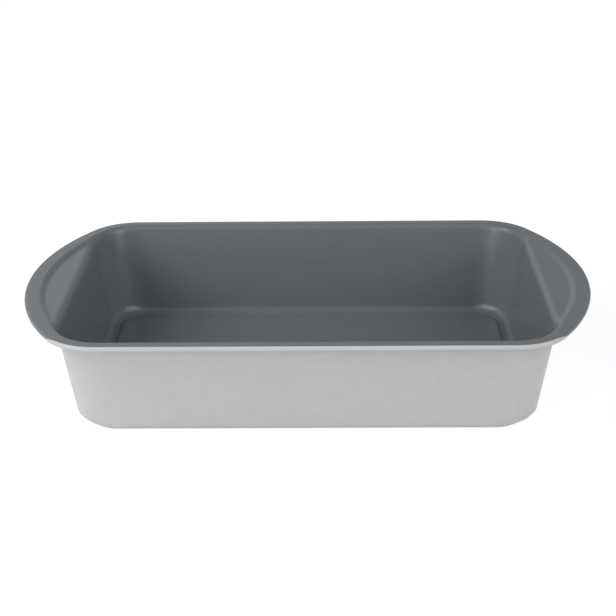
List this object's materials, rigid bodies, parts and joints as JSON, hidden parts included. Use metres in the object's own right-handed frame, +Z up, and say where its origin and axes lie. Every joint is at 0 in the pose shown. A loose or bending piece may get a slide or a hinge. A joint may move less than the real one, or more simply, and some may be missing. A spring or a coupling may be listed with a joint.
{
  "type": "deep baking pan",
  "caption": "Deep rectangular baking pan drawn from sheet, with rounded corners, a rolled-edge flange that widens into a bowed handle at each end, a dark lining and a pale coat.",
  "frame": {"origin": "middle of the base, on the surface the pan stands on", "axes": "+X along the length from handle to handle, +Y across the width, +Z up out of the open top"},
  "size_m": [0.3908, 0.24, 0.0686],
  "materials": {
    "steel_sheet": "bare drawn sheet, hidden under the coats except at the cut edge inside the roll",
    "dark_lining": "satin dark grey non-stick coat",
    "pale_coat": "satin pale grey coat",
    "steel_wire": "bare wire, hidden in the roll"
  },
  "bodies": {
    "root": {"sheet_body": "steel_sheet", "nonstick_lining": "dark_lining", "outer_coat": "pale_coat", "rim_wire": "steel_wire"}
  },
  "joints": []
}
